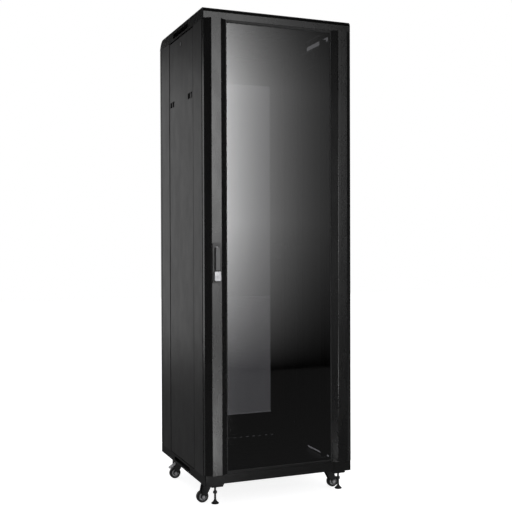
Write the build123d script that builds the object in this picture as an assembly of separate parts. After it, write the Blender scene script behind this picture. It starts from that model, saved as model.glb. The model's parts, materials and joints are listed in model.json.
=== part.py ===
"""A 37U network server rack cabinet, 600 x 600 x 1838 mm, as separate physical pieces.

Millimetres, +Z up. The origin is on the floor under the centre of the cabinet, and the glass
front door faces -Y. Each piece is written to parts/NODE.step in the closed, standing pose.
"""
import os
from math import asin, cos, degrees, radians, sin, sqrt

from build123d import *

os.makedirs("parts", exist_ok=True)

# Outer box
HALF_W = 300.0          # half the cabinet's width
FRONT = -283.0          # front plane of the base and top frames
REAR = 300.0            # rear plane of the frames and of the rear door
TOP = 1838.0            # highest point of the roof above the floor
SHEET = 2.0             # usual sheet-metal thickness

# Base frame
BASE_LOW = 90.0         # underside of the side beams
SIDE_TOP = 122.0        # top of the side beams, on which the posts stand
BASE_TOP = 128.0        # top of the front and rear beams
BLOCK_IN = 227.0        # inner edge of a corner block
BEAM_IN = 270.0         # inner face of a side beam
RAIL_DEPTH = 21.0       # depth of the front and rear beams
BLOCK_DEPTH = 60.0      # length of a corner block along the side
FLOOR_Z = BASE_LOW + SHEET  # underside of the floor sheet, which rests on the side beams

# Top frame
CROWN_LOW = 1798.0      # underside of the top frame
FRONT_ROUND = 16.0      # radius of the roof's front edge
LIP_LOW = TOP - FRONT_ROUND  # lower edge of the roof's rolled front lip
REAR_ROUND = 50.0       # radius of the roof's rear edge
REAR_START = REAR - sqrt(2 * REAR_ROUND * (TOP - CROWN_LOW) - (TOP - CROWN_LOW) ** 2)

# Ventilation slots through the side beams
SLOT_MID = 3.0
SLOT_LONG = 205.0
SIDE_PITCH_LOW = 105.5
SIDE_PITCH_HIGH = 1815.0

# Posts
POST_FRONT = -258.0     # front face of a front post
POST_NECK = -225.0      # where a front post narrows to its side wall
POST_GAP = 5.0          # gap between a post and a side panel
POST_WIDE = 250.0       # inner edge of a post's wide part
POST_IN = 276.0         # inner face of a post's side wall

# Side panels
PANEL_FRONT, PANEL_REAR = -151.0, 157.0
PANEL_LOW, PANEL_HIGH = 124.0, 1793.0
PANEL_X = 299.0         # outer face
PANEL_T = 1.2
LATCH_Z, LATCH_OUT = 1543.0, 117.0
LOCK_Z = 1765.0

# Doors
DOOR_LOW, DOOR_HIGH = 129.5, 1796.5
STILE_FACE = -300.7     # the stile's flat front
FLAT_OUT, FLAT_IN = 278.0, 238.0
LIP_IN = 216.0          # inner edge of the stile, where the glass shows
GLASS_HALF = 230.0
HINGE_X, HINGE_Y, REAR_HINGE_Y = 290.0, -273.0, 290.0

# 19-inch mounting rails
UNIT = 44.45            # one rack unit
UNITS = 37
HOLE_X = 465.1 / 2      # half the spacing between the two columns of holes
HOLE = 9.5              # side of a square hole
RAIL_IN = 225.0         # half the clear width between rails
RAIL_FRONT, RAIL_REAR = -172.0, 152.0
RAIL_LOW, RAIL_HIGH = 124.0, 1790.0
FIRST_UNIT = 134.0
DEPTH_RAIL_Z = (190.0, 960.0, 1730.0)

# Castors and feet
SWIVEL_X, SWIVEL_Y = 253.0, -172.0
TRAIL = 22.0            # from the swivel's axis back to the axle
WHEEL_R = 23.0
FORK_TOP = 79.7
FOOT_X, FOOT_Y = 255.0, -262.0

# Fit between a pin and the hole it turns in
RUNNING = 0.05


def box(x0, x1, y0, y1, z0, z1):
    """A block between two opposite corners."""
    return Pos((x0 + x1) / 2, (y0 + y1) / 2, (z0 + z1) / 2) * Box(x1 - x0, y1 - y0, z1 - z0)


def rod(axis, radius, a, b, low, high):
    """A round bar along an axis; a and b place it on the other two axes, in their usual order."""
    middle, bar = (low + high) / 2, Cylinder(radius, high - low)
    if axis == "x":
        return Pos(middle, a, b) * Rot(0, 90, 0) * bar
    if axis == "y":
        return Pos(a, middle, b) * Rot(90, 0, 0) * bar
    return Pos(a, b, middle) * bar


def upright(points, z0, z1):
    """A plan outline raised from z0 to z1."""
    return extrude(Pos(0, 0, z0) * Polygon(*points, align=None), amount=z1 - z0, dir=(0, 0, 1))


def across(points, x0, x1):
    """A side outline, given as (y, z), run along X."""
    face = Plane.YZ.offset(x0) * Polygon(*points, align=None)
    return extrude(face, amount=x1 - x0, dir=(1, 0, 0))


def plank(points, y0, y1):
    """A front outline, given as (x, z), run along Y."""
    face = Plane.XZ.offset(-y0) * Polygon(*points, align=None)
    return extrude(face, amount=y1 - y0, dir=(0, 1, 0))


def side_slot(long, high, y, z, x0, x1):
    """A slot with round ends that runs along the side, as the tool that cuts it."""
    face = Plane.YZ.offset(x0) * Pos(y, z) * SlotOverall(long, high)
    return extrude(face, amount=x1 - x0, dir=(1, 0, 0))


def front_slot(long, high, x, z, y0, y1):
    """A slot with round ends seen from the front, as the tool that cuts it."""
    face = Plane.XZ.offset(-y0) * Pos(x, z) * SlotOverall(long, high)
    return extrude(face, amount=y1 - y0, dir=(0, 1, 0))


def other_side(piece):
    """The same piece on the other side of the cabinet."""
    return mirror(piece, about=Plane.YZ)


def to_rear(piece):
    """The same piece turned to face the rear, about the middle of the frame."""
    return mirror(piece, about=Plane.XZ.offset(-(FRONT + REAR) / 2))


def four_corners(piece):
    """A front-left piece and its copies at the other three corners."""
    return [piece, other_side(piece), to_rear(piece), other_side(to_rear(piece))]


def save(name, *pieces):
    """Writes a node of one or more separate solids."""
    solids = [solid for piece in pieces for solid in piece.solids()]
    shape = solids[0] if len(solids) == 1 else Compound(children=solids)
    export_step(shape, f"parts/{name}.step")


# ---------------------------------------------------------------- base frame
front_face = 1.5        # how far the lower face of a beam stands back
front_beam = box(-BLOCK_IN, BLOCK_IN, FRONT, FRONT + RAIL_DEPTH, BASE_LOW + 3, BASE_TOP)
front_beam -= box(-BLOCK_IN, BLOCK_IN, FRONT, FRONT + front_face, BASE_LOW + 3, BASE_TOP - 10)
front_beam -= box(-BLOCK_IN, BLOCK_IN, FRONT + front_face + SHEET, FRONT + RAIL_DEPTH - SHEET,
                  BASE_LOW + 3 + SHEET, BASE_TOP - SHEET)
rear_beam = box(-BLOCK_IN, BLOCK_IN, REAR - RAIL_DEPTH, REAR, BASE_LOW, BASE_TOP)
rear_beam -= box(-BLOCK_IN, BLOCK_IN, REAR - RAIL_DEPTH + SHEET, REAR - SHEET,
                 BASE_LOW + SHEET, BASE_TOP - SHEET)
for i in range(15):
    rear_beam -= front_slot(22, 6, (i - 7) * 30, 120.5, REAR - RAIL_DEPTH - 1, REAR + 1)
side_beam = box(-HALF_W, -BEAM_IN, FRONT + BLOCK_DEPTH, REAR - BLOCK_DEPTH, BASE_LOW, SIDE_TOP)
side_beam -= box(-HALF_W + SHEET, -BEAM_IN + 1, FRONT + BLOCK_DEPTH, REAR - BLOCK_DEPTH,
                 BASE_LOW + SHEET, SIDE_TOP - SHEET)
side_beam -= side_slot(SLOT_LONG, 16, SLOT_MID, SIDE_PITCH_LOW, -HALF_W - 1, -BEAM_IN + 1)
save("base_beams", front_beam, rear_beam, side_beam, other_side(side_beam))

# A corner block is a pressed box: closed on top, with a thicker step under the door's corner.
block = box(-HALF_W, -BLOCK_IN, FRONT, FRONT + BLOCK_DEPTH, BASE_LOW, SIDE_TOP)
block += box(-HALF_W, -BLOCK_IN, FRONT, FRONT + RAIL_DEPTH, SIDE_TOP, BASE_TOP)
block = fillet(block.edges().filter_by(Axis.Z).group_by(Axis.Y)[0].sort_by(Axis.X)[0], 3)
block -= box(-HALF_W + 2.5, -BLOCK_IN - 2.5, FRONT + 2.5, FRONT + BLOCK_DEPTH - 2.5,
             BASE_LOW + 2.5, SIDE_TOP - 2.5)
block -= rod("z", 6, -FOOT_X, FOOT_Y, BASE_LOW - 1, BASE_LOW + 3)
blocks = four_corners(block)
bush_r = 7.0
front_bush = rod("z", bush_r, HINGE_X, HINGE_Y, SIDE_TOP - 2.5, BASE_TOP)
rear_bush = rod("z", bush_r, -HINGE_X, REAR_HINGE_Y, SIDE_TOP - 2.5, BASE_TOP)
save("base_corner_blocks", blocks[0], blocks[1] - front_bush, blocks[2] - rear_bush, blocks[3])

floor_half = HALF_W - SHEET
floor_outline = [(BLOCK_IN, FRONT + RAIL_DEPTH), (BLOCK_IN, FRONT + BLOCK_DEPTH),
                 (floor_half, FRONT + BLOCK_DEPTH), (floor_half, REAR - BLOCK_DEPTH),
                 (BLOCK_IN, REAR - BLOCK_DEPTH), (BLOCK_IN, REAR - RAIL_DEPTH)]
floor_outline += [(-x, y) for x, y in reversed(floor_outline)]
floor = upright(floor_outline, FLOOR_Z, FLOOR_Z + SHEET)
floor_hole = (-150, 150, 120, 220)      # cable entry, as x0, x1, y0, y1
floor -= box(*floor_hole, FLOOR_Z - 1, FLOOR_Z + 3)
floor_top = FLOOR_Z + SHEET
guide = box(165.3, 170, 5, 232, floor_top, floor_top + 4)
guide += box(160, 170, 5, 232, floor_top + 2.6, floor_top + 4)
floor += guide
floor += other_side(guide)
save("floor_panel", floor)
cover = box(-165, 165, 8, 117, floor_top + 0.3, floor_top + 2.3)
cover += rod("z", 9, 0, 98, floor_top + 2.3, floor_top + 8)
save("floor_entry_cover", cover)

# ---------------------------------------------------------------- posts
def post(end, neck, edge):
    """A left post: wide behind the door from end to neck, then a thin side wall up to edge."""
    inward = 1 if edge > end else -1
    t = SHEET * inward
    outside = [(-HALF_W, end), (-POST_WIDE, end), (-POST_WIDE, neck), (-POST_IN, neck),
               (-POST_IN, edge), (-HALF_W, edge)]
    inside = [(-HALF_W + SHEET, end + t), (-POST_WIDE - SHEET, end + t),
              (-POST_WIDE - SHEET, neck - t), (-POST_IN - SHEET, neck - t),
              (-POST_IN - SHEET, edge - t), (-HALF_W + SHEET, edge - t)]
    return upright(outside, SIDE_TOP, CROWN_LOW) - upright(inside, SIDE_TOP, CROWN_LOW)


front_post = post(POST_FRONT, POST_NECK, PANEL_FRONT - POST_GAP)
rear_post = post(FRONT + REAR - POST_FRONT, FRONT + REAR - POST_NECK, PANEL_REAR + POST_GAP)
save("front_posts", front_post, other_side(front_post))
save("rear_posts", rear_post, other_side(rear_post))


# ---------------------------------------------------------------- top frame and roof
front_mid = (FRONT + FRONT_ROUND, LIP_LOW)              # centre of the roof's front rounding
rear_mid = (REAR_START, TOP - REAR_ROUND)               # centre of the rear rounding


def on_circle(centre, radius, angle):
    """A point (y, z) on a circle in the side view; angle runs from the rear, upwards."""
    return centre[0] + radius * cos(radians(angle)), centre[1] + radius * sin(radians(angle))


def lip_arc(radius):
    """The rounding at the roof's front edge, from the lip up to the flat."""
    return ThreePointArc(*[on_circle(front_mid, radius, angle) for angle in (180, 135, 90)])


low_angle = degrees(asin((CROWN_LOW - rear_mid[1]) / REAR_ROUND))
rear_arc = ThreePointArc(*[on_circle(rear_mid, REAR_ROUND, angle)
                           for angle in (90, (90 + low_angle) / 2, low_angle)])
crown = make_face([
    Line((REAR, CROWN_LOW), (FRONT, CROWN_LOW)),
    Line((FRONT, CROWN_LOW), (FRONT, LIP_LOW)),
    Line((FRONT, LIP_LOW), (FRONT + SHEET, LIP_LOW)),
    lip_arc(FRONT_ROUND - SHEET),
    Line((front_mid[0], TOP - SHEET), (REAR_START, TOP - SHEET)),
    Line((REAR_START, TOP - SHEET), (REAR_START, TOP)),
    rear_arc])


def crown_bar(x0, x1):
    """A length of the top frame's full side profile."""
    return extrude(Plane.YZ.offset(x0) * crown, amount=x1 - x0, dir=(1, 0, 0))


top_side = crown_bar(-HALF_W, -BEAM_IN)
top_side -= box(-HALF_W + SHEET, -BEAM_IN + 1, FRONT + 18, REAR_START - SHEET,
                CROWN_LOW + SHEET, TOP - SHEET - 1.5)
top_side -= box(-HALF_W + 14, -BEAM_IN + 1, PANEL_FRONT - POST_GAP, PANEL_REAR + POST_GAP,
                CROWN_LOW - 1, CROWN_LOW + SHEET + 1)
top_side -= side_slot(SLOT_LONG, 18, SLOT_MID, SIDE_PITCH_HIGH, -HALF_W - 1, -BEAM_IN + 1)
whole = crown_bar(-BEAM_IN, BEAM_IN)
top_front = whole & box(-BEAM_IN, BEAM_IN, FRONT, FRONT + RAIL_DEPTH, CROWN_LOW, TOP)
top_front -= box(-BEAM_IN, BEAM_IN, FRONT + SHEET, FRONT + RAIL_DEPTH - SHEET,
                 CROWN_LOW + SHEET, LIP_LOW - SHEET)
top_rear = whole & box(-BEAM_IN, BEAM_IN, REAR_START, REAR, CROWN_LOW, TOP)
top_rear -= box(-BEAM_IN, BEAM_IN, REAR_START + SHEET, REAR - 15, CROWN_LOW + SHEET, TOP - 16)
top_right = other_side(top_side)
high_front_bush = rod("z", bush_r, HINGE_X, HINGE_Y, CROWN_LOW, CROWN_LOW + 10)
high_rear_bush = rod("z", bush_r, -HINGE_X, REAR_HINGE_Y, CROWN_LOW, CROWN_LOW + 10)
save("top_beams", top_front, top_rear, top_side - high_rear_bush, top_right - high_front_bush)

# Each door pin turns in a plain bush pressed into the frame above and below the door.
pin_r = 4.0
bushes = [piece - rod("z", pin_r + RUNNING, x, y, 0, TOP + 1)
          for x, y, pieces in ((HINGE_X, HINGE_Y, (front_bush, high_front_bush)),
                               (-HINGE_X, REAR_HINGE_Y, (rear_bush, high_rear_bush)))
          for piece in pieces]
save("door_hinge_sockets", *bushes)

fan_x, fan_y = 90.0, -60.0
fan_side, fan_high = 120.0, 25.0
roof_under = TOP - SHEET
roof_face = make_face([
    Line((FRONT, LIP_LOW), (FRONT + SHEET, LIP_LOW)),
    lip_arc(FRONT_ROUND - SHEET),
    Line((front_mid[0], roof_under), (REAR_START, roof_under)),
    Line((REAR_START, roof_under), (REAR_START, TOP)),
    Line((REAR_START, TOP), (front_mid[0], TOP)),
    lip_arc(FRONT_ROUND)])
roof = extrude(Plane.YZ.offset(-HALF_W) * roof_face, amount=2 * HALF_W, dir=(1, 0, 0))
roof_hole = (-140, 140, 128, 202)       # cable entry, as x0, x1, y0, y1
roof -= box(*roof_hole, roof_under - 1, TOP + 1)
vent = extrude(Pos(0, 0, roof_under - 1) * SlotOverall(96, 7), amount=SHEET + 2, dir=(0, 0, 1))
for x in (-fan_x, fan_x):
    for i in range(7):
        roof -= Pos(x, fan_y + (i - 3) * 14, 0) * vent
hanger = box(152.3, 157, 36, 210, roof_under - 6.5, roof_under)
hanger += box(147, 157, 36, 210, roof_under - 6.5, roof_under - 5.1)
roof += hanger
roof += other_side(hanger)
save("roof_panel", roof)
roof_cover = box(-152, 152, 40, 122, roof_under - 4.8, roof_under - 2.8)
roof_cover += rod("z", 7, 0, 104, roof_under - 11, roof_under - 4.8)
save("roof_entry_cover", roof_cover)

# ---------------------------------------------------------------- fans
fan_low = roof_under - fan_high
fan_half = fan_side / 2
hub_r, shaft_r, bore_r = 20.0, 3.0, 57.0
housing = box(-fan_half, fan_half, -fan_half, fan_half, fan_low, roof_under)
housing -= rod("z", bore_r, 0, 0, fan_low - 1, roof_under + 1)
stay = rod("z", hub_r - 2, 0, 0, fan_low + 1, fan_low + 4)
for i in range(4):
    stay += Rot(0, 0, 45 + 90 * i) * box(10, bore_r + 1, -3, 3, fan_low + 1, fan_low + 4)
housing += stay
housing += rod("z", shaft_r, 0, 0, fan_low + 4, fan_low + 20)
fan_places = [Pos(-fan_x, fan_y, 0), Pos(fan_x, fan_y, 0)]
save("fan_housings", *[place * housing for place in fan_places])

blades = 7
rotor = rod("z", hub_r, 0, 0, fan_low + 4.5, fan_low + 23)
for i in range(blades):
    blade = Pos((hub_r + 53) / 2 - 1, 0, fan_low + 14) * Rot(38, 0, 0) * Box(53 - hub_r + 2, 22, 1.6)
    rotor += Rot(0, 0, 360 * i / blades) * blade
rotor -= rod("z", shaft_r + RUNNING, 0, 0, fan_low + 4, fan_low + 20.5)
save("fan_rotor_left", fan_places[0] * rotor)
save("fan_rotor_right", fan_places[1] * rotor)

wire = 2.0              # the guard's wires are square in section
guard_low = fan_low - 3
guard = rod("z", 15, 0, 0, guard_low, guard_low + wire)
for radius in (27, 39, 51):
    guard += (rod("z", radius + wire, 0, 0, guard_low, guard_low + wire)
              - rod("z", radius, 0, 0, guard_low - 1, guard_low + wire + 1))
for i in range(4):
    spoke = box(13, 71, -wire / 2, wire / 2, guard_low, guard_low + wire)
    spoke += rod("z", 4, 74, 0, guard_low, fan_low)
    guard += Rot(0, 0, 45 + 90 * i) * spoke
save("fan_guards", *[place * guard for place in fan_places])

# ---------------------------------------------------------------- inner rails
depth_tube = box(-POST_IN, -RAIL_IN - 27, POST_NECK, FRONT + REAR - POST_NECK, -15, 15)
depth_tube -= box(-POST_IN + SHEET, -RAIL_IN - 27 - SHEET, POST_NECK, FRONT + REAR - POST_NECK,
                  -15 + SHEET, 15 - SHEET)
rail_web = -RAIL_IN - 25                # inner face of a mounting rail's web
bolt_y = (RAIL_FRONT + 16, RAIL_REAR - 16)
for y in bolt_y:
    depth_tube -= rod("x", 3, y, 0, -RAIL_IN - 30, -RAIL_IN - 20)
depth_left = [Pos(0, 0, z) * depth_tube for z in DEPTH_RAIL_Z]
save("depth_rails", *depth_left, *[other_side(tube) for tube in depth_left])


def mounting_rail(flange, inward):
    """A left rail folded from sheet, with its three square holes in every rack unit."""
    t, deep = SHEET * inward, 32 * inward
    fold = [(-RAIL_IN, flange), (-RAIL_IN - 27, flange), (-RAIL_IN - 27, flange + deep),
            (-RAIL_IN - 13, flange + deep), (-RAIL_IN - 13, flange + deep - t),
            (rail_web, flange + deep - t), (rail_web, flange + t), (-RAIL_IN, flange + t)]
    rail = upright(fold, RAIL_LOW, RAIL_HIGH)
    low, high = sorted((flange - t, flange + 2 * t))
    square = box(-HOLE_X - HOLE / 2, -HOLE_X + HOLE / 2, low, high, -HOLE / 2, HOLE / 2)
    rail -= [Pos(0, 0, FIRST_UNIT + UNIT * unit + step) * square
             for unit in range(UNITS) for step in (6.35, 22.225, 38.1)]
    for z in DEPTH_RAIL_Z:
        rail -= rod("x", 3, flange + 16 * inward, z, -RAIL_IN - 30, -RAIL_IN - 20)
    return rail


front_rail = mounting_rail(RAIL_FRONT, 1)
rear_rail = mounting_rail(RAIL_REAR, -1)
save("front_mounting_rails", front_rail, other_side(front_rail))
save("rear_mounting_rails", rear_rail, other_side(rear_rail))
bolts = []
for y in bolt_y:
    for z in DEPTH_RAIL_Z:
        bolt = rod("x", 3, y, z, rail_web - 6, rail_web) + rod("x", 5, y, z, rail_web, rail_web + 4)
        bolts += [bolt, other_side(bolt)]
save("frame_bolts", *bolts)

# ---------------------------------------------------------------- front door
stile_outline = [(HALF_W, FRONT), (FLAT_OUT, STILE_FACE), (FLAT_IN, STILE_FACE),
                 (LIP_IN, FRONT - 2.5), (LIP_IN, FRONT - 1.2), (232, FRONT - 1.2), (232, -264),
                 (298.5, -264), (HALF_W, -265.5)]
stile_hollow = [(297.8, FRONT + 0.6), (277.3, STILE_FACE + SHEET), (239, STILE_FACE + SHEET),
                (234, -295.2), (234, -266), (297.8, -266)]
stile = upright(stile_outline, DOOR_LOW, DOOR_HIGH)
stile = fillet([edge for edge in stile.edges().filter_by(Axis.Z)
                if abs(edge.center().Y - STILE_FACE) < 0.1], 6)
stile -= upright(stile_hollow, DOOR_LOW + 3, DOOR_HIGH - 3)
left_stile = other_side(stile)
groove = front_slot(1620, 22, 0, 0, STILE_FACE - 1, STILE_FACE + 0.8)
groove = Pos(261, 0, 965) * Rot(0, 90, 0) * groove
right_stile = stile - groove
for z0, z1 in ((DOOR_LOW - 1, DOOR_LOW + 4), (DOOR_HIGH - 4, DOOR_HIGH + 1)):
    right_stile -= rod("z", pin_r, HINGE_X, HINGE_Y, z0, z1)


def door_pins(x, y, cap):
    """The upper and lower pins of a door, each with a collar inside the door's end plate."""
    low = rod("z", pin_r, x, y, BASE_TOP - 7.5, DOOR_LOW + cap + 6)
    low += rod("z", 5.5, x, y, DOOR_LOW + cap, DOOR_LOW + cap + 4)
    high = rod("z", pin_r, x, y, DOOR_HIGH - cap - 6, CROWN_LOW + 9)
    high += rod("z", 5.5, x, y, DOOR_HIGH - cap - 4, DOOR_HIGH - cap)
    return low, high


save("door_hinge_pins", *door_pins(HINGE_X, HINGE_Y, 3))
save("door_stile_right", right_stile)

rail_fold = [(FRONT - 2.5, DOOR_LOW), (-264, DOOR_LOW), (-264, DOOR_LOW + 15),
             (-266, DOOR_LOW + 15), (-266, DOOR_LOW + 2), (FRONT - 1.2, DOOR_LOW + 2),
             (FRONT - 1.2, DOOR_LOW + 7), (FRONT - 2.5, DOOR_LOW + 7)]
low_rail = across(rail_fold, -232, 232) - left_stile - stile
high_rail = mirror(low_rail, about=Plane.XY.offset((DOOR_LOW + DOOR_HIGH) / 2))
save("door_cross_rails", low_rail, high_rail)
glass_low, glass_high = DOOR_LOW + 3, DOOR_HIGH - 3
save("door_glass", box(-GLASS_HALF, GLASS_HALF, FRONT, FRONT + 4, glass_low, glass_high))
gasket = box(-GLASS_HALF, GLASS_HALF, FRONT - 1.2, FRONT, glass_low, glass_high)
gasket -= box(-LIP_IN + 4, LIP_IN - 4, FRONT - 2, FRONT + 1, DOOR_LOW + 10, DOOR_HIGH - 10)
save("glass_gasket", gasket)

# ---------------------------------------------------------------- swing handle, front door
handle_x = -258.0
lever_high = 964.5
pivot_z = lever_high - 3.7              # so near the lever's end that the end clears the dish
tilt_y = -309.5
dish_low, dish_high = 833.0, 980.0
dish_face = STILE_FACE - 3.5
pocket_floor = STILE_FACE - 0.8
dish_half = 17.5
dish = box(handle_x - dish_half, handle_x + dish_half, dish_face, STILE_FACE, dish_low, dish_high)
dish = fillet(dish.edges().filter_by(Axis.Y), 5)
pocket = front_slot(96, 22, 0, 0, dish_face - 1, pocket_floor)
dish -= Pos(handle_x, 0, lever_high + 2 - 48) * Rot(0, 90, 0) * pocket
spindle_r = 5.0
key_z = 858.0
dish -= rod("y", spindle_r + RUNNING, handle_x, pivot_z, pocket_floor - 1, STILE_FACE + 1)
save("handle_housing", dish)
left_stile -= rod("y", 7, handle_x, pivot_z, STILE_FACE - 1, STILE_FACE + 4)
left_stile -= rod("y", spindle_r + RUNNING, handle_x, pivot_z, -267, -263)
save("door_stile_left", left_stile)

key_face = -311.5
key_block = box(handle_x - 12.5, handle_x + 12.5, key_face, dish_face, 841, 876)
key_block = fillet(key_block.edges().filter_by(Axis.Y), 4)
key_block = fillet(key_block.faces().sort_by(Axis.Y)[0].edges(), 1)
key_block -= box(handle_x - 13, handle_x + 13, key_face - 1, key_face + 0.6, 848.6, 849.8)
key_r = 6.5
key_block -= rod("y", key_r + RUNNING, handle_x, key_z, key_face - 1, dish_face + 1)
save("handle_key_block", key_block)
plug = rod("y", key_r, handle_x, key_z, key_face - 0.5, dish_face - 0.3)
plug -= box(handle_x - 0.7, handle_x + 0.7, key_face - 1, key_face + 3, key_z - 3.5, key_z + 3.5)
save("handle_key_plug", plug)

ear_half = 2.5
spindle = rod("y", spindle_r, handle_x, pivot_z, pocket_floor - 1.2, -259.5)
spindle += box(handle_x - ear_half, handle_x + ear_half, tilt_y, pocket_floor - 1,
               pivot_z - 2.5, pivot_z + 2.5)
spindle += rod("x", 2.5, tilt_y, pivot_z, handle_x - ear_half, handle_x + ear_half)
spindle += rod("x", 1.5, tilt_y, pivot_z, handle_x - 5.5, handle_x + 5.5)
cam = plank([(handle_x + 9, pivot_z - 9), (handle_x + 9, pivot_z + 9), (handle_x - 6, pivot_z + 9),
             (-285, pivot_z + 5), (-285, pivot_z - 5), (handle_x - 6, pivot_z - 9)], -262.5, -259.5)
spindle += cam
save("handle_spindle", spindle)

lever_half = 7.5
lever_low = 880.5
lever = box(handle_x - lever_half, handle_x + lever_half, tilt_y - 3.5, tilt_y + 3.5,
            lever_low, lever_high - lever_half)
lever += rod("y", lever_half, handle_x, lever_high - lever_half, tilt_y - 3.5, tilt_y + 3.5)
lever -= box(handle_x - ear_half - 0.3, handle_x + ear_half + 0.3, tilt_y - 2.8, tilt_y + 4,
             pivot_z - 8.5, lever_high + 1)
lever -= rod("x", 1.5 + RUNNING, tilt_y, pivot_z, handle_x - 9, handle_x + 9)
save("handle_lever", lever)

# ---------------------------------------------------------------- rear door
rear_face = 298.0
rear_half = 299.5
mesh_x, mesh_low, mesh_high = 207.0, 222.0, 1682.0
rear_panel = box(-rear_half, rear_half, 281, REAR, DOOR_LOW, DOOR_HIGH)
rear_panel -= box(-rear_half + SHEET, rear_half - SHEET, 280, rear_face,
                  DOOR_LOW + SHEET, DOOR_HIGH - SHEET)
rear_panel -= box(-mesh_x, mesh_x, rear_face - 1, REAR + 1, mesh_low, mesh_high)
rear_lock_x, rear_lock_z = 252.0, 946.0
lock_hole = 8.0
rear_panel -= rod("y", lock_hole + RUNNING, rear_lock_x, rear_lock_z, rear_face - 1, REAR + 1)
for z0, z1 in ((DOOR_LOW - 1, DOOR_LOW + 3), (DOOR_HIGH - 3, DOOR_HIGH + 1)):
    rear_panel -= rod("z", pin_r, -HINGE_X, REAR_HINGE_Y, z0, z1)
save("rear_door_panel", rear_panel)
save("rear_hinge_pins", *door_pins(-HINGE_X, REAR_HINGE_Y, SHEET))
screen = box(-mesh_x - 8, mesh_x + 8, rear_face - 1.5, rear_face, mesh_low - 8, mesh_high + 8)
columns, rows = 23, 6
slot_long = 222.0
slot = Rot(0, 90, 0) * front_slot(slot_long, 9, 0, 0, rear_face - 3, rear_face + 1)
screen -= [Pos((i - (columns - 1) / 2) * 17.5, 0,
               mesh_low + 18 + slot_long / 2 + j * (slot_long + 18)) * slot
           for i in range(columns) for j in range(rows)]
save("rear_door_mesh", screen)
lock_case = box(rear_lock_x - 25, rear_lock_x + 25, 284, rear_face,
                rear_lock_z - 35, rear_lock_z + 35)
lock_case -= rod("y", lock_hole + RUNNING, rear_lock_x, rear_lock_z, 283, rear_face + 1)
rose = rod("y", 17, rear_lock_x, rear_lock_z, REAR, REAR + 2.5)
rose -= rod("y", lock_hole + RUNNING, rear_lock_x, rear_lock_z, REAR - 1, REAR + 4)
save("rear_lock_body", lock_case, rose)
knob = rod("y", lock_hole, rear_lock_x, rear_lock_z, 280, 305)
knob += rod("y", 13, rear_lock_x, rear_lock_z, REAR + 3, REAR + 7)
knob += box(rear_lock_x - 3.5, rear_lock_x + 3.5, REAR + 6, 313, rear_lock_z - 13, rear_lock_z + 13)
knob += plank([(rear_lock_x - 10, rear_lock_z - 10), (rear_lock_x - 10, rear_lock_z + 10),
               (rear_lock_x + 8, rear_lock_z + 10), (286, rear_lock_z + 6),
               (286, rear_lock_z - 6), (rear_lock_x + 8, rear_lock_z - 10)], 277.5, 280.5)
save("rear_lock_plug", knob)

# ---------------------------------------------------------------- side panels
edge = 15.0
panel = box(-PANEL_X, -PANEL_X + edge, PANEL_FRONT, PANEL_REAR, PANEL_LOW, PANEL_HIGH)
panel -= box(-PANEL_X + PANEL_T, -PANEL_X + edge + 1, PANEL_FRONT + PANEL_T, PANEL_REAR - PANEL_T,
             PANEL_LOW + PANEL_T, PANEL_HIGH - PANEL_T)
cup_half, cup_high, cup_deep = 28.0, 12.0, 10.0
latch_y = {"front": SLOT_MID - LATCH_OUT, "rear": SLOT_MID + LATCH_OUT}
toward = {"front": -1, "rear": 1}       # the way a latch's bolt points
fittings = []
for place, y in latch_y.items():
    panel -= box(-PANEL_X - 1, -PANEL_X + 2, y - cup_half, y + cup_half,
                 LATCH_Z - cup_high, LATCH_Z + cup_high)
    s = toward[place]
    wall = (PANEL_FRONT, PANEL_REAR)[s > 0]
    panel -= box(-295, -289.5, wall - 2, wall + 2, LATCH_Z - 5, LATCH_Z + 5)
    cup = box(-PANEL_X, -PANEL_X + cup_deep, y - cup_half, y + cup_half,
              LATCH_Z - cup_high, LATCH_Z + cup_high)
    cup -= box(-PANEL_X - 1, -PANEL_X + cup_deep - 1.5, y - cup_half + 1.5, y + cup_half - 1.5,
               LATCH_Z - cup_high + 1.5, LATCH_Z + cup_high - 1.5)
    mouth = sorted((y + s * (cup_half - 2), y + s * (cup_half + 1)))
    cup -= box(-294, -290.5, *mouth, LATCH_Z - 4.2, LATCH_Z + 4.2)
    fittings.append(cup)
lock_y = SLOT_MID
panel -= rod("x", 11, lock_y, LOCK_Z, -PANEL_X - 1, -PANEL_X + 2)
lock_r = 7.0
barrel = rod("x", 11, lock_y, LOCK_Z, -HALF_W, -283)
barrel -= rod("x", lock_r + RUNNING, lock_y, LOCK_Z, -HALF_W - 1, -282)
fittings.append(barrel)
save("side_panel_left", panel)
save("side_panel_right", other_side(panel))
save("side_fittings_left", *fittings)
save("side_fittings_right", *[other_side(piece) for piece in fittings])

for place, y in latch_y.items():
    s = toward[place]
    plate = sorted((y - s * 14, y + s * 26))
    bolt = sorted((y + s * 25, y + s * 41))
    latch = box(-293.7, -290.8, *plate, LATCH_Z - 9.5, LATCH_Z + 9.5)
    latch += box(-293.7, -290.8, *bolt, LATCH_Z - 3.9, LATCH_Z + 3.9)
    latch += box(-297, -293, y + s * 6 - 4, y + s * 6 + 4, LATCH_Z - 9.5, LATCH_Z + 9.5)
    save(f"side_latch_left_{place}", latch)
    save(f"side_latch_right_{place}", other_side(latch))

side_plug = rod("x", lock_r, lock_y, LOCK_Z, -299.8, -280)
side_plug -= box(-HALF_W, -296, lock_y - 0.7, lock_y + 0.7, LOCK_Z - 4, LOCK_Z + 4)
side_plug += across([(lock_y - 8, LOCK_Z - 8), (lock_y + 8, LOCK_Z - 8), (lock_y + 8, LOCK_Z + 4),
                     (lock_y + 5, CROWN_LOW - 1.5), (lock_y - 5, CROWN_LOW - 1.5),
                     (lock_y - 8, LOCK_Z + 4)], -282.5, -280)
save("side_lock_left", side_plug)
save("side_lock_right", other_side(side_plug))

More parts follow.
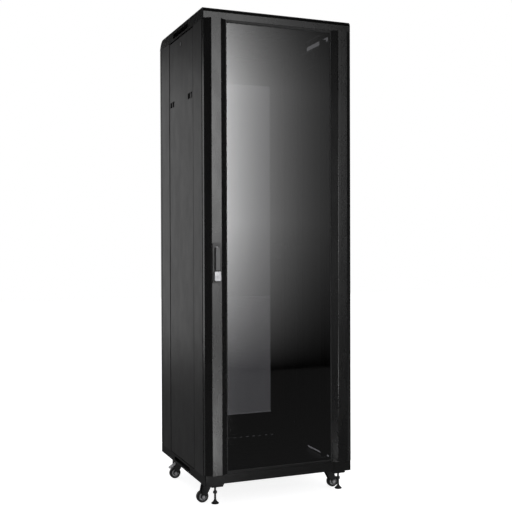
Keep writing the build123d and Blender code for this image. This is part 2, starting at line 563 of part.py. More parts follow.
# ---------------------------------------------------------------- castors
mount = box(-SWIVEL_X - 30, -SWIVEL_X + 30, SWIVEL_Y - 32, SWIVEL_Y + 32, BASE_LOW - 3, BASE_LOW)
mount += rod("z", 22, -SWIVEL_X, SWIVEL_Y, FORK_TOP + 0.3, BASE_LOW - 3)
mount += rod("z", 5, -SWIVEL_X, SWIVEL_Y, FORK_TOP - 3.6, FORK_TOP + 1)
mount += rod("z", 8, -SWIVEL_X, SWIVEL_Y, FORK_TOP - 7.3, FORK_TOP - 3.3)
for x in (-24, 24):
    for y in (-26, 26):
        mount += rod("z", 4.5, -SWIVEL_X + x, SWIVEL_Y + y, BASE_LOW - 6, BASE_LOW - 3)
save("castor_plates", *four_corners(mount))

cheek_in, cheek_out = 13.0, 15.5
fork = rod("z", 21, 0, 0, FORK_TOP - 3, FORK_TOP)
for y0, y1 in ((-cheek_out, -cheek_in), (cheek_in, cheek_out)):
    fork += plank([(14, FORK_TOP), (14, FORK_TOP - 10), (-TRAIL + 7.5, WHEEL_R - 5),
                   (-TRAIL - 8.8, WHEEL_R + 2), (-TRAIL + 2, FORK_TOP)], y0, y1)
    fork += rod("y", 9, -TRAIL, WHEEL_R, y0, y1)
fork += rod("y", 4, -TRAIL, WHEEL_R, -cheek_out - 3, cheek_out + 3)
for y0, y1 in ((-cheek_out - 3, -cheek_out), (cheek_out, cheek_out + 3)):
    fork += rod("y", 6, -TRAIL, WHEEL_R, y0, y1)
fork -= rod("z", 5 + RUNNING, 0, 0, FORK_TOP - 4, FORK_TOP + 1)
pedal_x, pedal_z = -15.0, 66.0
braked_fork = fork - rod("y", 2.5 + RUNNING, pedal_x, pedal_z, -20, 20)
half = [(4 + RUNNING, 12.5), (9, 12.5), (9, 7.5), (17, 7.5), (18, 10.5), (21, 10.5), (WHEEL_R, 8)]
wheel = revolve(Polygon(*half, *[(r, -y) for r, y in reversed(half)], align=None), Axis.Y)
wheel = Pos(-TRAIL, 0, WHEEL_R) * wheel
pedal = rod("y", 2.5, pedal_x, pedal_z, -17, 17)
pedal += plank([(pedal_x + 3, pedal_z + 3), (pedal_x + 3, pedal_z - 3), (-46.5, 43), (-46.5, 47)],
               -11, 11)
front_left = Pos(-SWIVEL_X, SWIVEL_Y, 0)
rear_y = FRONT + REAR - SWIVEL_Y
rear_left = Pos(-SWIVEL_X, rear_y, 0)
for name, place, frame, is_right in (("front_left", front_left, fork, False),
                                     ("front_right", front_left, fork, True),
                                     ("rear_left", rear_left, braked_fork, False),
                                     ("rear_right", rear_left, braked_fork, True)):
    for part, piece in (("fork", frame), ("wheel", wheel)):
        moved = place * piece
        save(f"castor_{part}_{name}", other_side(moved) if is_right else moved)
save("brake_pedal_left", rear_left * pedal)
save("brake_pedal_right", other_side(rear_left * pedal))

# ---------------------------------------------------------------- levelling feet
stud_r = 4.0
pad_low = 18.0
boss = box(-275, -BLOCK_IN - 2, FRONT + 2, FRONT + 42, BASE_LOW - 8, BASE_LOW)
boss = chamfer(boss.faces().sort_by(Axis.Z)[0].edges(), 1.5)
boss -= rod("z", stud_r + RUNNING, -FOOT_X, FOOT_Y, BASE_LOW - 9, BASE_LOW + 1)
save("foot_nuts", *four_corners(boss))
foot = rod("z", 14, 0, 0, pad_low, pad_low + 4)
foot += Pos(0, 0, pad_low + 9) * Cone(12, stud_r, 10)
foot += rod("z", stud_r, 0, 0, pad_low + 4, 112)
foot += extrude(Pos(0, 0, 56) * RegularPolygon(8, 6), amount=9, dir=(0, 0, 1))
foot = Pos(-FOOT_X, FOOT_Y, 0) * foot
for name, piece in zip(("front_left", "front_right", "rear_left", "rear_right"), four_corners(foot)):
    save(f"foot_{name}", piece)
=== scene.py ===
"""The looks of a 37U network cabinet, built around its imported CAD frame.

Metres, +Z up, with the glass door towards -Y. Sizes written as N * MM are the real ones.
"""
import json
import math

import bmesh
import bpy
from mathutils import Matrix, Vector

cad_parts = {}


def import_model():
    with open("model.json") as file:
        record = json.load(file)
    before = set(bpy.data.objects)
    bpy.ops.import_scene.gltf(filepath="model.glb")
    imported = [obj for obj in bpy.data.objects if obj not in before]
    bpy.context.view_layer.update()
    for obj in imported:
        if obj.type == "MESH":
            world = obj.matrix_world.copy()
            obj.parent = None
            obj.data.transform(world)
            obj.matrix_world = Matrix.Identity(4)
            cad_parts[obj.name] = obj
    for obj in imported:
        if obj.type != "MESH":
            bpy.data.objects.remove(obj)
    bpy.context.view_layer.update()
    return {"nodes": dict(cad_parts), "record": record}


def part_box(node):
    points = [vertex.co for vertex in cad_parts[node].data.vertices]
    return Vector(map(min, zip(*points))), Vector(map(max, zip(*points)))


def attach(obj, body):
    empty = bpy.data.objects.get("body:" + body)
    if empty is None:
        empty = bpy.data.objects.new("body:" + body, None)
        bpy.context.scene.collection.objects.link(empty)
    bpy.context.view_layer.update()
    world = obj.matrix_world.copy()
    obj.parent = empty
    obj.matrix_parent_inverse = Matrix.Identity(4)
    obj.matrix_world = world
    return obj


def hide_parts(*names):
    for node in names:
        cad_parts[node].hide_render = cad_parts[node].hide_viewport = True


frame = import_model()
nodes = frame["nodes"]
slot_of = {part["node"]: part["material_slot"] for part in frame["record"]["subparts"]}
MM = 0.001
SIDES = ("left", "right")
ENDS = ("front", "rear")


# ---------------------------------------------------------------- materials
NOISE_LOW, NOISE_HIGH = 0.35, 0.65      # nearly all of a noise texture lies between these


class Shader:
    """A material being built. Each call adds a node and returns its output."""

    def __init__(self, name):
        self.material = bpy.data.materials.new(name)
        self.material.use_nodes = True
        self.tree = self.material.node_tree
        self.tree.nodes.clear()
        self.place = self.node("ShaderNodeTexCoord").outputs["Object"]

    def node(self, kind, **settings):
        made = self.tree.nodes.new(kind)
        for key, value in settings.items():
            setattr(made, key, value)
        return made

    def feed(self, socket, value):
        """Links an output to a socket, or sets the socket to a plain value."""
        if isinstance(value, bpy.types.NodeSocket):
            self.tree.links.new(value, socket)
        else:
            socket.default_value = value

    def noise(self, size, detail=2.0, stretch=(1, 1, 1)):
        """Noise whose blotches are about size across, stretched along each axis."""
        mapping = self.node("ShaderNodeMapping")
        mapping.inputs["Scale"].default_value = [1 / (size * s) for s in stretch]
        self.feed(mapping.inputs["Vector"], self.place)
        made = self.node("ShaderNodeTexNoise")
        made.inputs["Scale"].default_value = 1.0
        made.inputs["Detail"].default_value = detail
        self.feed(made.inputs["Vector"], mapping.outputs["Vector"])
        return made.outputs[0]

    def span(self, factor, low, high, start=NOISE_LOW, end=NOISE_HIGH):
        """A number that runs from low to high while factor runs from start to end."""
        made = self.node("ShaderNodeMapRange")
        for socket, value in (("Value", factor), ("From Min", start), ("From Max", end),
                              ("To Min", low), ("To Max", high)):
            self.feed(made.inputs[socket], value)
        return made.outputs["Result"]

    def tones(self, factor, dark, light):
        """A colour that runs from dark to light as a noise rises."""
        ramp = self.node("ShaderNodeValToRGB")
        first, last = ramp.color_ramp.elements
        first.position, last.position = NOISE_LOW, NOISE_HIGH
        first.color, last.color = (*dark, 1), (*light, 1)
        self.feed(ramp.inputs[0], factor)
        return ramp.outputs["Color"]

    def maths(self, operation, *values):
        """The result of a sum on plain numbers and outputs."""
        made = self.node("ShaderNodeMath", operation=operation)
        for socket, value in zip(made.inputs, values):
            self.feed(socket, value)
        return made.outputs[0]

    def bump(self, height, depth):
        """A normal for a texture that stands depth proud."""
        made = self.node("ShaderNodeBump")
        made.inputs["Distance"].default_value = depth
        self.feed(made.inputs["Height"], height)
        return made.outputs["Normal"]

    def surface(self, colour, roughness, normal=None, **sockets):
        """A Principled surface. Other sockets are given by name, with _ for a space."""
        made = self.node("ShaderNodeBsdfPrincipled")
        self.feed(made.inputs["Base Color"], colour)
        self.feed(made.inputs["Roughness"], roughness)
        if normal is not None:
            self.feed(made.inputs["Normal"], normal)
        for name, value in sockets.items():
            made.inputs[name.replace("_", " ")].default_value = value
        return self.output(made.outputs["BSDF"])

    def output(self, shader):
        out = self.node("ShaderNodeOutputMaterial")
        self.feed(out.inputs["Surface"], shader)
        return self.material


def grey(value):
    """A near-neutral colour, slightly cool."""
    return (value, value, value * 1.03)


def powder_coat(name, shade, roughness, grain, depth, gloss=0.5):
    """Baked powder paint: a fine pebbled skin, faint mottling and an uneven sheen."""
    s = Shader(name)
    mottle = s.noise(90 * MM, 4)
    pebbles = s.noise(grain, 3)
    rub = s.noise(40 * MM, 4, stretch=(1, 1, 2))
    blend = s.maths("ADD", s.maths("MULTIPLY", mottle, 0.6), s.maths("MULTIPLY", pebbles, 0.4))
    colour = s.tones(blend, grey(shade * 0.7), grey(shade * 1.35))
    sheen = s.span(rub, roughness - 0.02, roughness + 0.02)
    return s.surface(colour, sheen, s.bump(pebbles, depth), Specular_IOR_Level=gloss)


def tinted_glass():
    """Smoked toughened glass: it mirrors more at a glancing angle, and has faint smears."""
    head_on, glancing = 0.062, 0.95     # the mirrored share head on, and what a glancing angle adds
    s = Shader("smoked_glass")
    facing = s.node("ShaderNodeLayerWeight")
    facing.inputs["Blend"].default_value = 0.5
    rise = s.maths("POWER", facing.outputs["Facing"], 5.0)
    mirror = s.maths("MULTIPLY_ADD", rise, glancing, head_on)
    smears = s.noise(160 * MM, 5, stretch=(1, 1, 3))
    gloss = s.node("ShaderNodeBsdfAnisotropic")
    gloss.inputs["Color"].default_value = (1, 1, 1, 1)
    s.feed(gloss.inputs["Roughness"], s.span(smears, 0.02, 0.06))
    through = s.node("ShaderNodeBsdfTransparent")
    s.feed(through.inputs["Color"], s.tones(smears, grey(0.27), grey(0.29)))
    mix = s.node("ShaderNodeMixShader")
    s.feed(mix.inputs[0], mirror)
    s.feed(mix.inputs[1], through.outputs[0])
    s.feed(mix.inputs[2], gloss.outputs[0])
    return s.output(mix.outputs[0])


def rubber():
    """Dull black rubber with a fine grain."""
    s = Shader("seal_rubber")
    grain = s.noise(1.2 * MM, 4)
    return s.surface(s.tones(grain, grey(0.006), grey(0.012)), s.span(grain, 0.75, 0.9),
                     s.bump(grain, 0.05 * MM))


def plated(name, shade, roughness, metallic, grain=0.8 * MM):
    """Plated metal. A dull coat is less metallic."""
    s = Shader(name)
    scratches = s.noise(grain, 3)
    blotch = s.noise(14 * MM, 3)
    return s.surface(s.tones(blotch, grey(shade * 0.85), grey(shade * 1.1)),
                     s.span(scratches, roughness - 0.07, roughness + 0.09),
                     s.bump(scratches, 0.02 * MM), Metallic=metallic)


def plastic(name, shade, roughness):
    """Moulded plastic with a fine spark-eroded texture."""
    s = Shader(name)
    sparks = s.noise(0.9 * MM, 2)
    flow = s.noise(30 * MM, 3)
    return s.surface(s.tones(flow, grey(shade * 0.8), grey(shade * 1.25)),
                     s.span(flow, roughness - 0.05, roughness + 0.05), s.bump(sparks, 0.03 * MM))


finishes = {
    "frame_black": powder_coat("frame_powder", 0.003, 0.40, 0.7 * MM, 0.05 * MM, 0.3),
    "panel_black": powder_coat("panel_powder", 0.008, 0.40, 0.7 * MM, 0.05 * MM),
    "door_black": powder_coat("door_powder", 0.002, 0.27, 0.5 * MM, 0.03 * MM),
    "rail_black": powder_coat("rail_powder", 0.012, 0.38, 0.5 * MM, 0.03 * MM),
    "roof_black": powder_coat("roof_powder", 0.001, 0.60, 0.7 * MM, 0.05 * MM, 0.08),
    "tinted_glass": tinted_glass(),
    "seal_rubber": rubber(),
    "zinc_steel": plated("zinc_plate", 0.45, 0.42, 0.6),
    "fan_plastic": plastic("fan_plastic", 0.012, 0.45),
    "handle_plastic": plastic("handle_plastic", 0.010, 0.42),
    "lever_paint": powder_coat("lever_powder", 0.03, 0.33, 0.4 * MM, 0.02 * MM),
    "key_silver": plated("satin_nickel", 0.34, 0.38, 1.0, 0.4 * MM),
    "castor_steel": powder_coat("castor_black", 0.010, 0.36, 0.5 * MM, 0.02 * MM),
    "wheel_nylon": plastic("wheel_nylon", 0.012, 0.38),
}


def paint(obj, slot):
    """Gives an object the finish of a slot and no other."""
    obj.data.materials.clear()
    obj.data.materials.append(finishes[slot])


# ---------------------------------------------------------------- CAD pieces that stay
def soften(name, width):
    """Joins a CAD node's split corners and rounds its sharp edges by width."""
    obj = nodes[name]
    weld = obj.modifiers.new("weld", "WELD")
    weld.merge_threshold = 0.001 * MM
    bevel = obj.modifiers.new("edges", "BEVEL")
    bevel.width = width
    bevel.segments = 2
    bevel.limit_method = "ANGLE"
    bevel.angle_limit = math.radians(32)
    bevel.harden_normals = True


for node, slot in slot_of.items():
    paint(nodes[node], slot)

EDGE_ROUNDING = {
    0.4 * MM: ["base_beams", "front_posts", "rear_posts", "roof_panel", "floor_panel",
               "side_panel_left", "side_panel_right", "rear_door_panel", "depth_rails",
               "door_cross_rails", "floor_entry_cover", "roof_entry_cover",
               "side_fittings_left", "side_fittings_right"],
    0.8 * MM: ["base_corner_blocks", "door_stile_left", "door_stile_right", "door_glass",
               "handle_housing", "rear_lock_body", "rear_lock_plug"],
}
for width, names in EDGE_ROUNDING.items():
    for node in names:
        soften(node, width)


# ---------------------------------------------------------------- mesh tools
def piece(name, mesh, slot, body, replaced=(), smooth=40):
    """Makes an object of a bmesh, shades it smooth up to an angle and puts it on its body."""
    data = bpy.data.meshes.new(name)
    bmesh.ops.recalc_face_normals(mesh, faces=mesh.faces)
    mesh.to_mesh(data)
    mesh.free()
    obj = bpy.data.objects.new(name, data)
    bpy.context.scene.collection.objects.link(obj)
    for polygon in data.polygons:
        polygon.use_smooth = True
    data.set_sharp_from_angle(angle=math.radians(smooth))
    paint(obj, slot)
    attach(obj, body)
    if replaced:
        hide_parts(*replaced)
    return obj


def ring_of(mesh, count, radius, height, twist=0.0):
    """One ring of points round Z at a height."""
    return [mesh.verts.new((radius * math.cos(twist + math.tau * i / count),
                            radius * math.sin(twist + math.tau * i / count), height))
            for i in range(count)]


def skin(mesh, rings, closed=False):
    """Faces between each ring and the next, and round to the first if closed."""
    pairs = list(zip(rings, rings[1:])) + ([(rings[-1], rings[0])] if closed else [])
    for low, high in pairs:
        for i in range(len(low)):
            j = (i + 1) % len(low)
            mesh.faces.new((low[i], low[j], high[j], high[i]))


def turned(mesh, profile, count, place, capped=True):
    """Turns (radius, height) points about Z, then moves the result by a matrix."""
    rings = [ring_of(mesh, count, radius, height) for radius, height in profile]
    skin(mesh, rings, closed=not capped)
    if capped:
        mesh.faces.new(rings[0])
        mesh.faces.new(rings[-1])
    bmesh.ops.transform(mesh, matrix=place, verts=[v for ring in rings for v in ring])


def block(mesh, low, high, place=None):
    """A block between two corners, to be rounded later."""
    low, high = Vector(low), Vector(high)
    made = bmesh.ops.create_cube(mesh, size=1)["verts"]
    size = Matrix.Diagonal((*(high - low), 1))
    matrix = Matrix.Translation((low + high) / 2) @ size
    bmesh.ops.transform(mesh, matrix=matrix if place is None else place @ matrix, verts=made)
    return made


def round_edges(mesh, width, segments=3):
    """Rounds every sharp edge of a mesh."""
    sharp_angle = 0.5
    sharp = [e for e in mesh.edges if len(e.link_faces) == 2 and e.calc_face_angle() > sharp_angle]
    bmesh.ops.bevel(mesh, geom=sharp, offset=width, segments=segments, profile=0.5,
                    affect="EDGES", clamp_overlap=True)


def axis_frame(axis, centre):
    """A matrix that turns +Z to an axis and moves the origin to centre."""
    turn = Vector((0, 0, 1)).rotation_difference(Vector(axis))
    return Matrix.Translation(centre) @ turn.to_matrix().to_4x4()


# ---------------------------------------------------------------- perforated sheets
ROW_STEP = math.sqrt(3) / 2     # height of a row of holes, in pitches


def perforated(name, middle_x, bottom, columns, rows, pitch, open_share, y_front, thickness, body,
               slot, replaced=()):
    """A sheet of six-sided holes in staggered rows, about middle_x and upwards from bottom."""
    mesh = bmesh.new()
    across, up = pitch, pitch * ROW_STEP
    outer = pitch / math.sqrt(3)
    inner = outer * math.sqrt(open_share)
    made = {}

    def corner(x, y, z):
        """A vertex shared by the cells that meet at a point."""
        key = (round(x / (0.01 * MM)), round(z / (0.01 * MM)), y)
        if key not in made:
            made[key] = mesh.verts.new((x, y, z))
        return made[key]

    left = middle_x - (columns - 0.5) / 2 * across
    turns = [math.radians(30 + 60 * i) for i in range(6)]
    for row in range(rows):
        for column in range(columns):
            x = left + (column + 0.5 * (row % 2)) * across
            z = bottom + (row + 0.5) * up
            loops = []
            for y in (y_front, y_front + thickness):
                rim = [corner(x + outer * math.cos(t), y, z + outer * math.sin(t)) for t in turns]
                hole = [mesh.verts.new((x + inner * math.cos(t), y, z + inner * math.sin(t)))
                        for t in turns]
                loops.append(hole)
                skin(mesh, [rim, hole])
            skin(mesh, loops)
    return piece(name, mesh, slot, body, replaced, smooth=20)


# The rear door's sheet in three bands. Each has an even number of rows, so that they join on.
BANDS = ("lower", "middle", "upper")
SHEET_PITCH = 7 * MM
SHEET_OPEN = 0.48
SHEET_THICK = 1.0 * MM
sheet_low, sheet_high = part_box("rear_door_mesh")
sheet_columns = int((sheet_high.x - sheet_low.x) / SHEET_PITCH) - 1
band_rows = 2 * int((sheet_high.z - sheet_low.z) / (SHEET_PITCH * ROW_STEP) / (2 * len(BANDS)))
band_high = band_rows * SHEET_PITCH * ROW_STEP
sheet_bottom = (sheet_low.z + sheet_high.z - len(BANDS) * band_high) / 2
for i, part in enumerate(BANDS):
    perforated(f"rear_mesh_{part}", 0, sheet_bottom + i * band_high, sheet_columns, band_rows,
               SHEET_PITCH, SHEET_OPEN, sheet_low.y + 0.4 * MM, SHEET_THICK, "rear_door", "panel_black",
               ["rear_door_mesh"])

# The decorative strip let into the right stile's groove
INSERT_X = 261 * MM
INSERT_BOTTOM = 158 * MM
INSERT_COLUMNS, INSERT_ROWS = 4, 443
INSERT_PITCH = 4.2 * MM
INSERT_OPEN = 0.30
INSERT_THICK = 0.5 * MM
insert_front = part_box("door_stile_right")[0].y + 0.1 * MM
perforated("stile_insert", INSERT_X, INSERT_BOTTOM, INSERT_COLUMNS, INSERT_ROWS, INSERT_PITCH,
           INSERT_OPEN, insert_front, INSERT_THICK, "front_door", "door_black")


# ---------------------------------------------------------------- brushes and seals
def brush(name, half, y0, y1, z):
    """Two rows of tapered bristles that cross in the middle of a cable entry."""
    pitch = 2.5 * MM
    half_wide = 1.35 * MM
    half_thick = 0.25 * MM
    stagger = 0.3 * MM          # every other bristle lies higher
    cross = 2 * MM              # how far a tip goes past the middle
    taper = 0.6                 # a tip's height against its root's
    mesh = bmesh.new()
    count = int(2 * half / pitch)
    middle = (y0 + y1) / 2
    for start, way in ((y0, 1), (y1, -1)):
        for i in range(count):
            x = (i + 0.5 - count / 2) * pitch
            lift = stagger * (1 if i % 2 else -1)
            made = block(mesh, (x - half_wide, min(start, middle), z + lift - half_thick),
                         (x + half_wide, max(start, middle), z + lift + half_thick))
            for vertex in made:
                if abs(vertex.co.y - middle) < 0.1 * MM:
                    vertex.co.y += way * cross
                    vertex.co.z = z + taper * (vertex.co.z - z)
    piece(name, mesh, "seal_rubber", "frame", smooth=20)


roof_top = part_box("roof_panel")[1].z
brush("roof_brush", 140 * MM, 128 * MM, 202 * MM, roof_top - 1 * MM)
floor_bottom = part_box("floor_panel")[0].z
brush("floor_brush", 150 * MM, 120 * MM, 220 * MM, floor_bottom + 1 * MM)

# Each seal stands clear of what turns near it: the handle's cam on the left, the hinge on the right.
SEAL_X = {"left": -289 * MM, "right": 266 * MM}
SEAL_HALF = 2.5 * MM
SEAL_FRONT, SEAL_BACK = -263.7 * MM, -258 * MM
SEAL_LOW, SEAL_HIGH = 150 * MM, 1776 * MM
for side in SIDES:
    mesh = bmesh.new()
    block(mesh, (SEAL_X[side] - SEAL_HALF, SEAL_FRONT, SEAL_LOW),
          (SEAL_X[side] + SEAL_HALF, SEAL_BACK, SEAL_HIGH))
    round_edges(mesh, 1.5 * MM)
    piece(f"door_seal_{side}", mesh, "seal_rubber", "frame", smooth=50)


# ---------------------------------------------------------------- castors
def wheel(end, side):
    """A nylon wheel: a crowned tread, a dished face with a raised ring, and webs inside it."""
    name = f"castor_wheel_{end}_{side}"
    low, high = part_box(name)
    centre = (low + high) / 2
    r = (high.z - low.z) / 2
    half = (high.y - low.y) / 2
    rim = 8 * MM                # height of the wheel's face from its middle
    web_at = rim - 3.2 * MM
    web_count = 6
    cheek_out = 15.5 * MM       # height of the fork's outer face
    profile = [(4.2 * MM, half), (8 * MM, half), (9 * MM, half - 1 * MM), (9.5 * MM, rim - 2 * MM),
               (14 * MM, rim - 2.5 * MM), (15 * MM, rim), (16 * MM, 10 * MM), (17.5 * MM, 10.6 * MM),
               (19.5 * MM, 10.6 * MM), (21 * MM, 10 * MM), (22.2 * MM, rim), (r - 0.15 * MM, 6 * MM),
               (r, 3 * MM)]
    outline = profile + [(radius, -height) for radius, height in reversed(profile)]
    mesh = bmesh.new()
    lie = axis_frame((0, 1, 0), centre)
    turned(mesh, outline, 64, lie, capped=False)
    piece(f"tyre_{end}_{side}", mesh, "wheel_nylon", f"{end}_{side}_wheel", [name], smooth=35)
    mesh = bmesh.new()
    for face in (-1, 1):
        for i in range(web_count):
            spin = Matrix.Rotation(math.tau * i / web_count, 4, "Z")
            block(mesh, (9 * MM, -1 * MM, face * web_at - 1 * MM),
                  (15.5 * MM, 1 * MM, face * web_at + 2.6 * MM), lie @ spin)
    round_edges(mesh, 0.4 * MM, 2)
    piece(f"wheel_webs_{end}_{side}", mesh, "wheel_nylon", f"{end}_{side}_wheel")

    rings = bmesh.new()
    nuts = bmesh.new()
    for face in (-1, 1):
        at = axis_frame((0, face, 0), centre)
        turned(rings, [(9.8 * MM, rim - 2 * MM), (9.8 * MM, rim + 0.2 * MM), (10.4 * MM, rim + 0.8 * MM),
                       (13.6 * MM, rim + 0.8 * MM), (14.3 * MM, rim + 0.2 * MM),
                       (14.3 * MM, rim - 2 * MM)], 48, at, capped=False)
        turned(nuts, [(6.6 * MM, cheek_out), (6.6 * MM, cheek_out + 1.4 * MM),
                      (5.6 * MM, cheek_out + 3.2 * MM), (3.6 * MM, cheek_out + 3.6 * MM),
                      (2.4 * MM, cheek_out + 3.2 * MM)], 24, at)
    piece(f"wheel_rings_{end}_{side}", rings, "zinc_steel", f"{end}_{side}_wheel", smooth=35)
    piece(f"axle_nuts_{end}_{side}", nuts, "zinc_steel", f"{end}_{side}_castor", smooth=35)


for side in SIDES:
    for end in ENDS:
        wheel(end, side)
        soften(f"castor_fork_{end}_{side}", 0.5 * MM)


# ---------------------------------------------------------------- levelling feet
def foot(end, side):
    """A levelling foot: a rubber pad, a cone, a hexagon for the spanner and a cut thread."""
    name = f"foot_{end}_{side}"
    low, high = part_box(name)
    middle = (low + high) / 2
    body = f"{end}_{side}_foot"
    at = Matrix.Translation((middle.x, middle.y, 0))
    pad = low.z
    mesh = bmesh.new()
    turned(mesh, [(12.6 * MM, pad), (13.6 * MM, pad + 0.4 * MM), (14 * MM, pad + 1 * MM),
                  (14 * MM, pad + 3.4 * MM), (13.2 * MM, pad + 4 * MM), (12.2 * MM, pad + 4.2 * MM),
                  (10.8 * MM, pad + 6 * MM), (7.4 * MM, pad + 9.5 * MM), (5.4 * MM, pad + 13 * MM),
                  (4.6 * MM, pad + 16 * MM), (3.6 * MM, pad + 16.4 * MM)], 48, at)
    piece(f"foot_pad_{end}_{side}", mesh, "seal_rubber", body, [name], smooth=30)

    mesh = bmesh.new()
    steps, pitch, depth = 24, 1.5 * MM, 0.35 * MM
    stud_radius = 4 * MM
    levels_per_turn = 6
    bottom, top = pad + 14 * MM, high.z
    levels = int((top - bottom) / pitch * levels_per_turn)
    rings = []
    for level in range(levels + 1):
        z = bottom + (top - bottom) * level / levels
        ring = []
        for i in range(steps):
            turn = (z / pitch - i / steps) % 1
            radius = stud_radius - depth * (1 - abs(2 * turn - 1))
            angle = math.tau * i / steps
            ring.append(mesh.verts.new((radius * math.cos(angle), radius * math.sin(angle), z)))
        rings.append(ring)
    skin(mesh, rings)
    mesh.faces.new(rings[0])
    mesh.faces.new(rings[-1])
    bmesh.ops.transform(mesh, matrix=at, verts=mesh.verts)
    piece(f"foot_stud_{end}_{side}", mesh, "castor_steel", body, smooth=80)

    mesh = bmesh.new()
    across = 8 * MM
    hexagon = [(across * 0.9, 56 * MM), (across, 56.8 * MM), (across, 64.2 * MM), (across * 0.9, 65 * MM)]
    turned(mesh, hexagon, 6, at)
    piece(f"foot_nut_{end}_{side}", mesh, "castor_steel", body, smooth=20)


for side in SIDES:
    for end in ENDS:
        foot(end, side)


# ---------------------------------------------------------------- stage, light and camera
KEY_POWER = 7.4
LOW_POWER = 8.0


def floor():
    """A plain pale floor that glows to blend with the background. Reflections do not see it."""
    half = 12.0
    mesh = bmesh.new()
    bmesh.ops.create_grid(mesh, x_segments=4, y_segments=4, size=half)
    data = bpy.data.meshes.new("floor")
    mesh.to_mesh(data)
    mesh.free()
    obj = bpy.data.objects.new("floor", data)
    bpy.context.scene.collection.objects.link(obj)
    s = Shader("pale_floor")
    haze = s.noise(0.4, 2)
    data.materials.append(s.surface(s.tones(haze, grey(0.50), grey(0.52)), 0.9,
                                    Emission_Color=(1, 1, 1, 1), Emission_Strength=0.85,
                                    Specular_IOR_Level=0.0))
    obj.visible_glossy = False


def card(name, corners):
    """A flat card that the camera does not see directly, ready for a glowing material."""
    mesh = bmesh.new()
    mesh.faces.new([mesh.verts.new(corner) for corner in corners])
    data = bpy.data.meshes.new(name)
    mesh.to_mesh(data)
    mesh.free()
    obj = bpy.data.objects.new(name, data)
    bpy.context.scene.collection.objects.link(obj)
    obj.visible_camera = False
    return obj


def key_card():
    """A tall soft light at the front right, brightest on its left and fading to the right."""
    y, x0, x1, z0, z1 = -3.28, 0.25, 2.6, 0.02, 3.2
    obj = card("key_card", ((x0, y, z0), (x0, y, z1), (x1, y, z1), (x1, y, z0)))
    s = Shader("key_glow")
    split = s.node("ShaderNodeSeparateXYZ")
    s.feed(split.inputs[0], s.place)
    x, z = split.outputs["X"], split.outputs["Z"]
    fade_start, fade_length = 0.86, 0.30
    fade = s.maths("EXPONENT", s.maths("DIVIDE", s.maths("SUBTRACT", fade_start, x), fade_length))
    across = s.maths("MULTIPLY", s.maths("MINIMUM", fade, 1.0), s.span(x, 0, 1, x0, 0.45))
    up = s.maths("MULTIPLY", s.span(z, 0, 1, z0, 1.15), s.span(z, 1, 0.45, 2.15, 2.65))
    glow = s.node("ShaderNodeEmission")
    s.feed(glow.inputs["Strength"], s.maths("MULTIPLY", s.maths("MULTIPLY", across, up), KEY_POWER))
    obj.data.materials.append(s.output(glow.outputs[0]))


def low_card():
    """A glow at floor level, seen only in reflections. It keeps the left stile light to its foot."""
    z = 0.004
    obj = card("low_card", ((-0.2, -0.75, z), (-0.09, -0.75, z), (0.84, -3.28, z), (0.36, -3.28, z)))
    s = Shader("low_glow")
    glow = s.node("ShaderNodeEmission")
    s.feed(glow.inputs["Strength"], s.maths("MULTIPLY", s.span(s.noise(0.5), 0.95, 1.05), LOW_POWER))
    obj.data.materials.append(s.output(glow.outputs[0]))
    obj.visible_diffuse = False
    obj.visible_shadow = False
    obj.visible_transmission = False


def soft_light(name, place, target, width, height, radiance):
    """A soft rectangular lamp that shines evenly from place to target. Not seen directly."""
    data = bpy.data.lights.new(name, "AREA")
    data.shape = "RECTANGLE"
    data.size, data.size_y = width, height
    data.energy = radiance * width * height * math.pi
    obj = bpy.data.objects.new(name, data)
    obj.location = place
    obj.rotation_euler = (Vector(target) - Vector(place)).to_track_quat("-Z", "Y").to_euler()
    obj.visible_camera = False
    bpy.context.scene.collection.objects.link(obj)


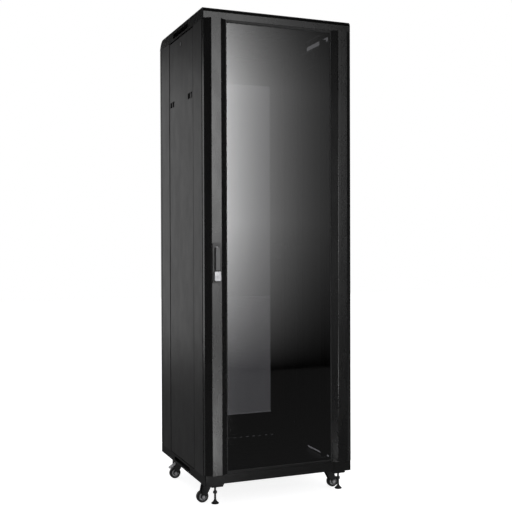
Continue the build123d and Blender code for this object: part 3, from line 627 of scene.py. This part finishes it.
def world():
    """White to the camera, softer as fill light, and dark in reflections, less so below."""
    fill_level = 0.75
    mirrored_below, mirrored_above = 0.11, 0.025
    made = bpy.data.worlds.new("studio")
    bpy.context.scene.world = made
    made.use_nodes = True
    tree = made.node_tree
    tree.nodes.clear()
    rays = tree.nodes.new("ShaderNodeLightPath")
    out = tree.nodes.new("ShaderNodeOutputWorld")
    shown, fill, mirrored = [tree.nodes.new("ShaderNodeBackground") for _ in range(3)]
    for background, level in ((shown, 1.0), (fill, fill_level), (mirrored, 1.0)):
        background.inputs["Color"].default_value = (level, level, level, 1)
    split = tree.nodes.new("ShaderNodeSeparateXYZ")
    tree.links.new(tree.nodes.new("ShaderNodeTexCoord").outputs["Generated"], split.inputs[0])
    height = tree.nodes.new("ShaderNodeMapRange")
    for socket, value in (("From Min", -0.25), ("From Max", 0.05),
                          ("To Min", mirrored_below), ("To Max", mirrored_above)):
        height.inputs[socket].default_value = value
    tree.links.new(split.outputs["Z"], height.inputs["Value"])
    tree.links.new(height.outputs["Result"], mirrored.inputs["Strength"])
    glossy, camera = [tree.nodes.new("ShaderNodeMixShader") for _ in range(2)]
    tree.links.new(rays.outputs["Is Glossy Ray"], glossy.inputs[0])
    tree.links.new(fill.outputs[0], glossy.inputs[1])
    tree.links.new(mirrored.outputs[0], glossy.inputs[2])
    tree.links.new(rays.outputs["Is Camera Ray"], camera.inputs[0])
    tree.links.new(glossy.outputs[0], camera.inputs[1])
    tree.links.new(shown.outputs[0], camera.inputs[2])
    tree.links.new(camera.outputs[0], out.inputs["Surface"])


def camera():
    """The camera stands left of the door, a little above the cabinet's middle."""
    stand = (-1.2784, -3.1956, 0.9668)
    data = bpy.data.cameras.new("camera")
    data.lens, data.sensor_width = 59.3, 36
    yaw, pitch, roll = math.radians(22.07), math.radians(-0.658), math.radians(-0.188)
    ahead = Vector((math.sin(yaw) * math.cos(pitch), math.cos(yaw) * math.cos(pitch), math.sin(pitch)))
    level = Vector((math.cos(yaw), -math.sin(yaw), 0))
    right = level * math.cos(roll) + level.cross(ahead) * math.sin(roll)
    up = right.cross(ahead)
    obj = bpy.data.objects.new("camera", data)
    turn = Matrix((right, up, -ahead)).transposed().to_4x4()
    obj.matrix_world = Matrix.Translation(stand) @ turn
    bpy.context.scene.collection.objects.link(obj)
    bpy.context.scene.camera = obj


floor()
key_card()
low_card()
soft_light("left_rear", (-1.35, 3.2, 1.25), (-0.3, 0, 1.0), 1.6, 2.3, 0.66)
soft_light("right_rear", (2.2, 3.0, 1.25), (0.3, 0, 1.0), 1.6, 2.3, 0.6)
soft_light("rear", (0.1, 4.2, 1.5), (0, 0.3, 1.0), 1.4, 2.2, 0.8)
soft_light("front_left", (-2.7, -3.3, 1.3), (0, -0.3, 1.0), 0.7, 2.2, 0.7)
soft_light("above", (0.0, 0.3, 4.2), (0, 0, 1.8), 2.4, 2.4, 1.0)
world()
camera()
bpy.context.scene.view_settings.view_transform = "Standard"
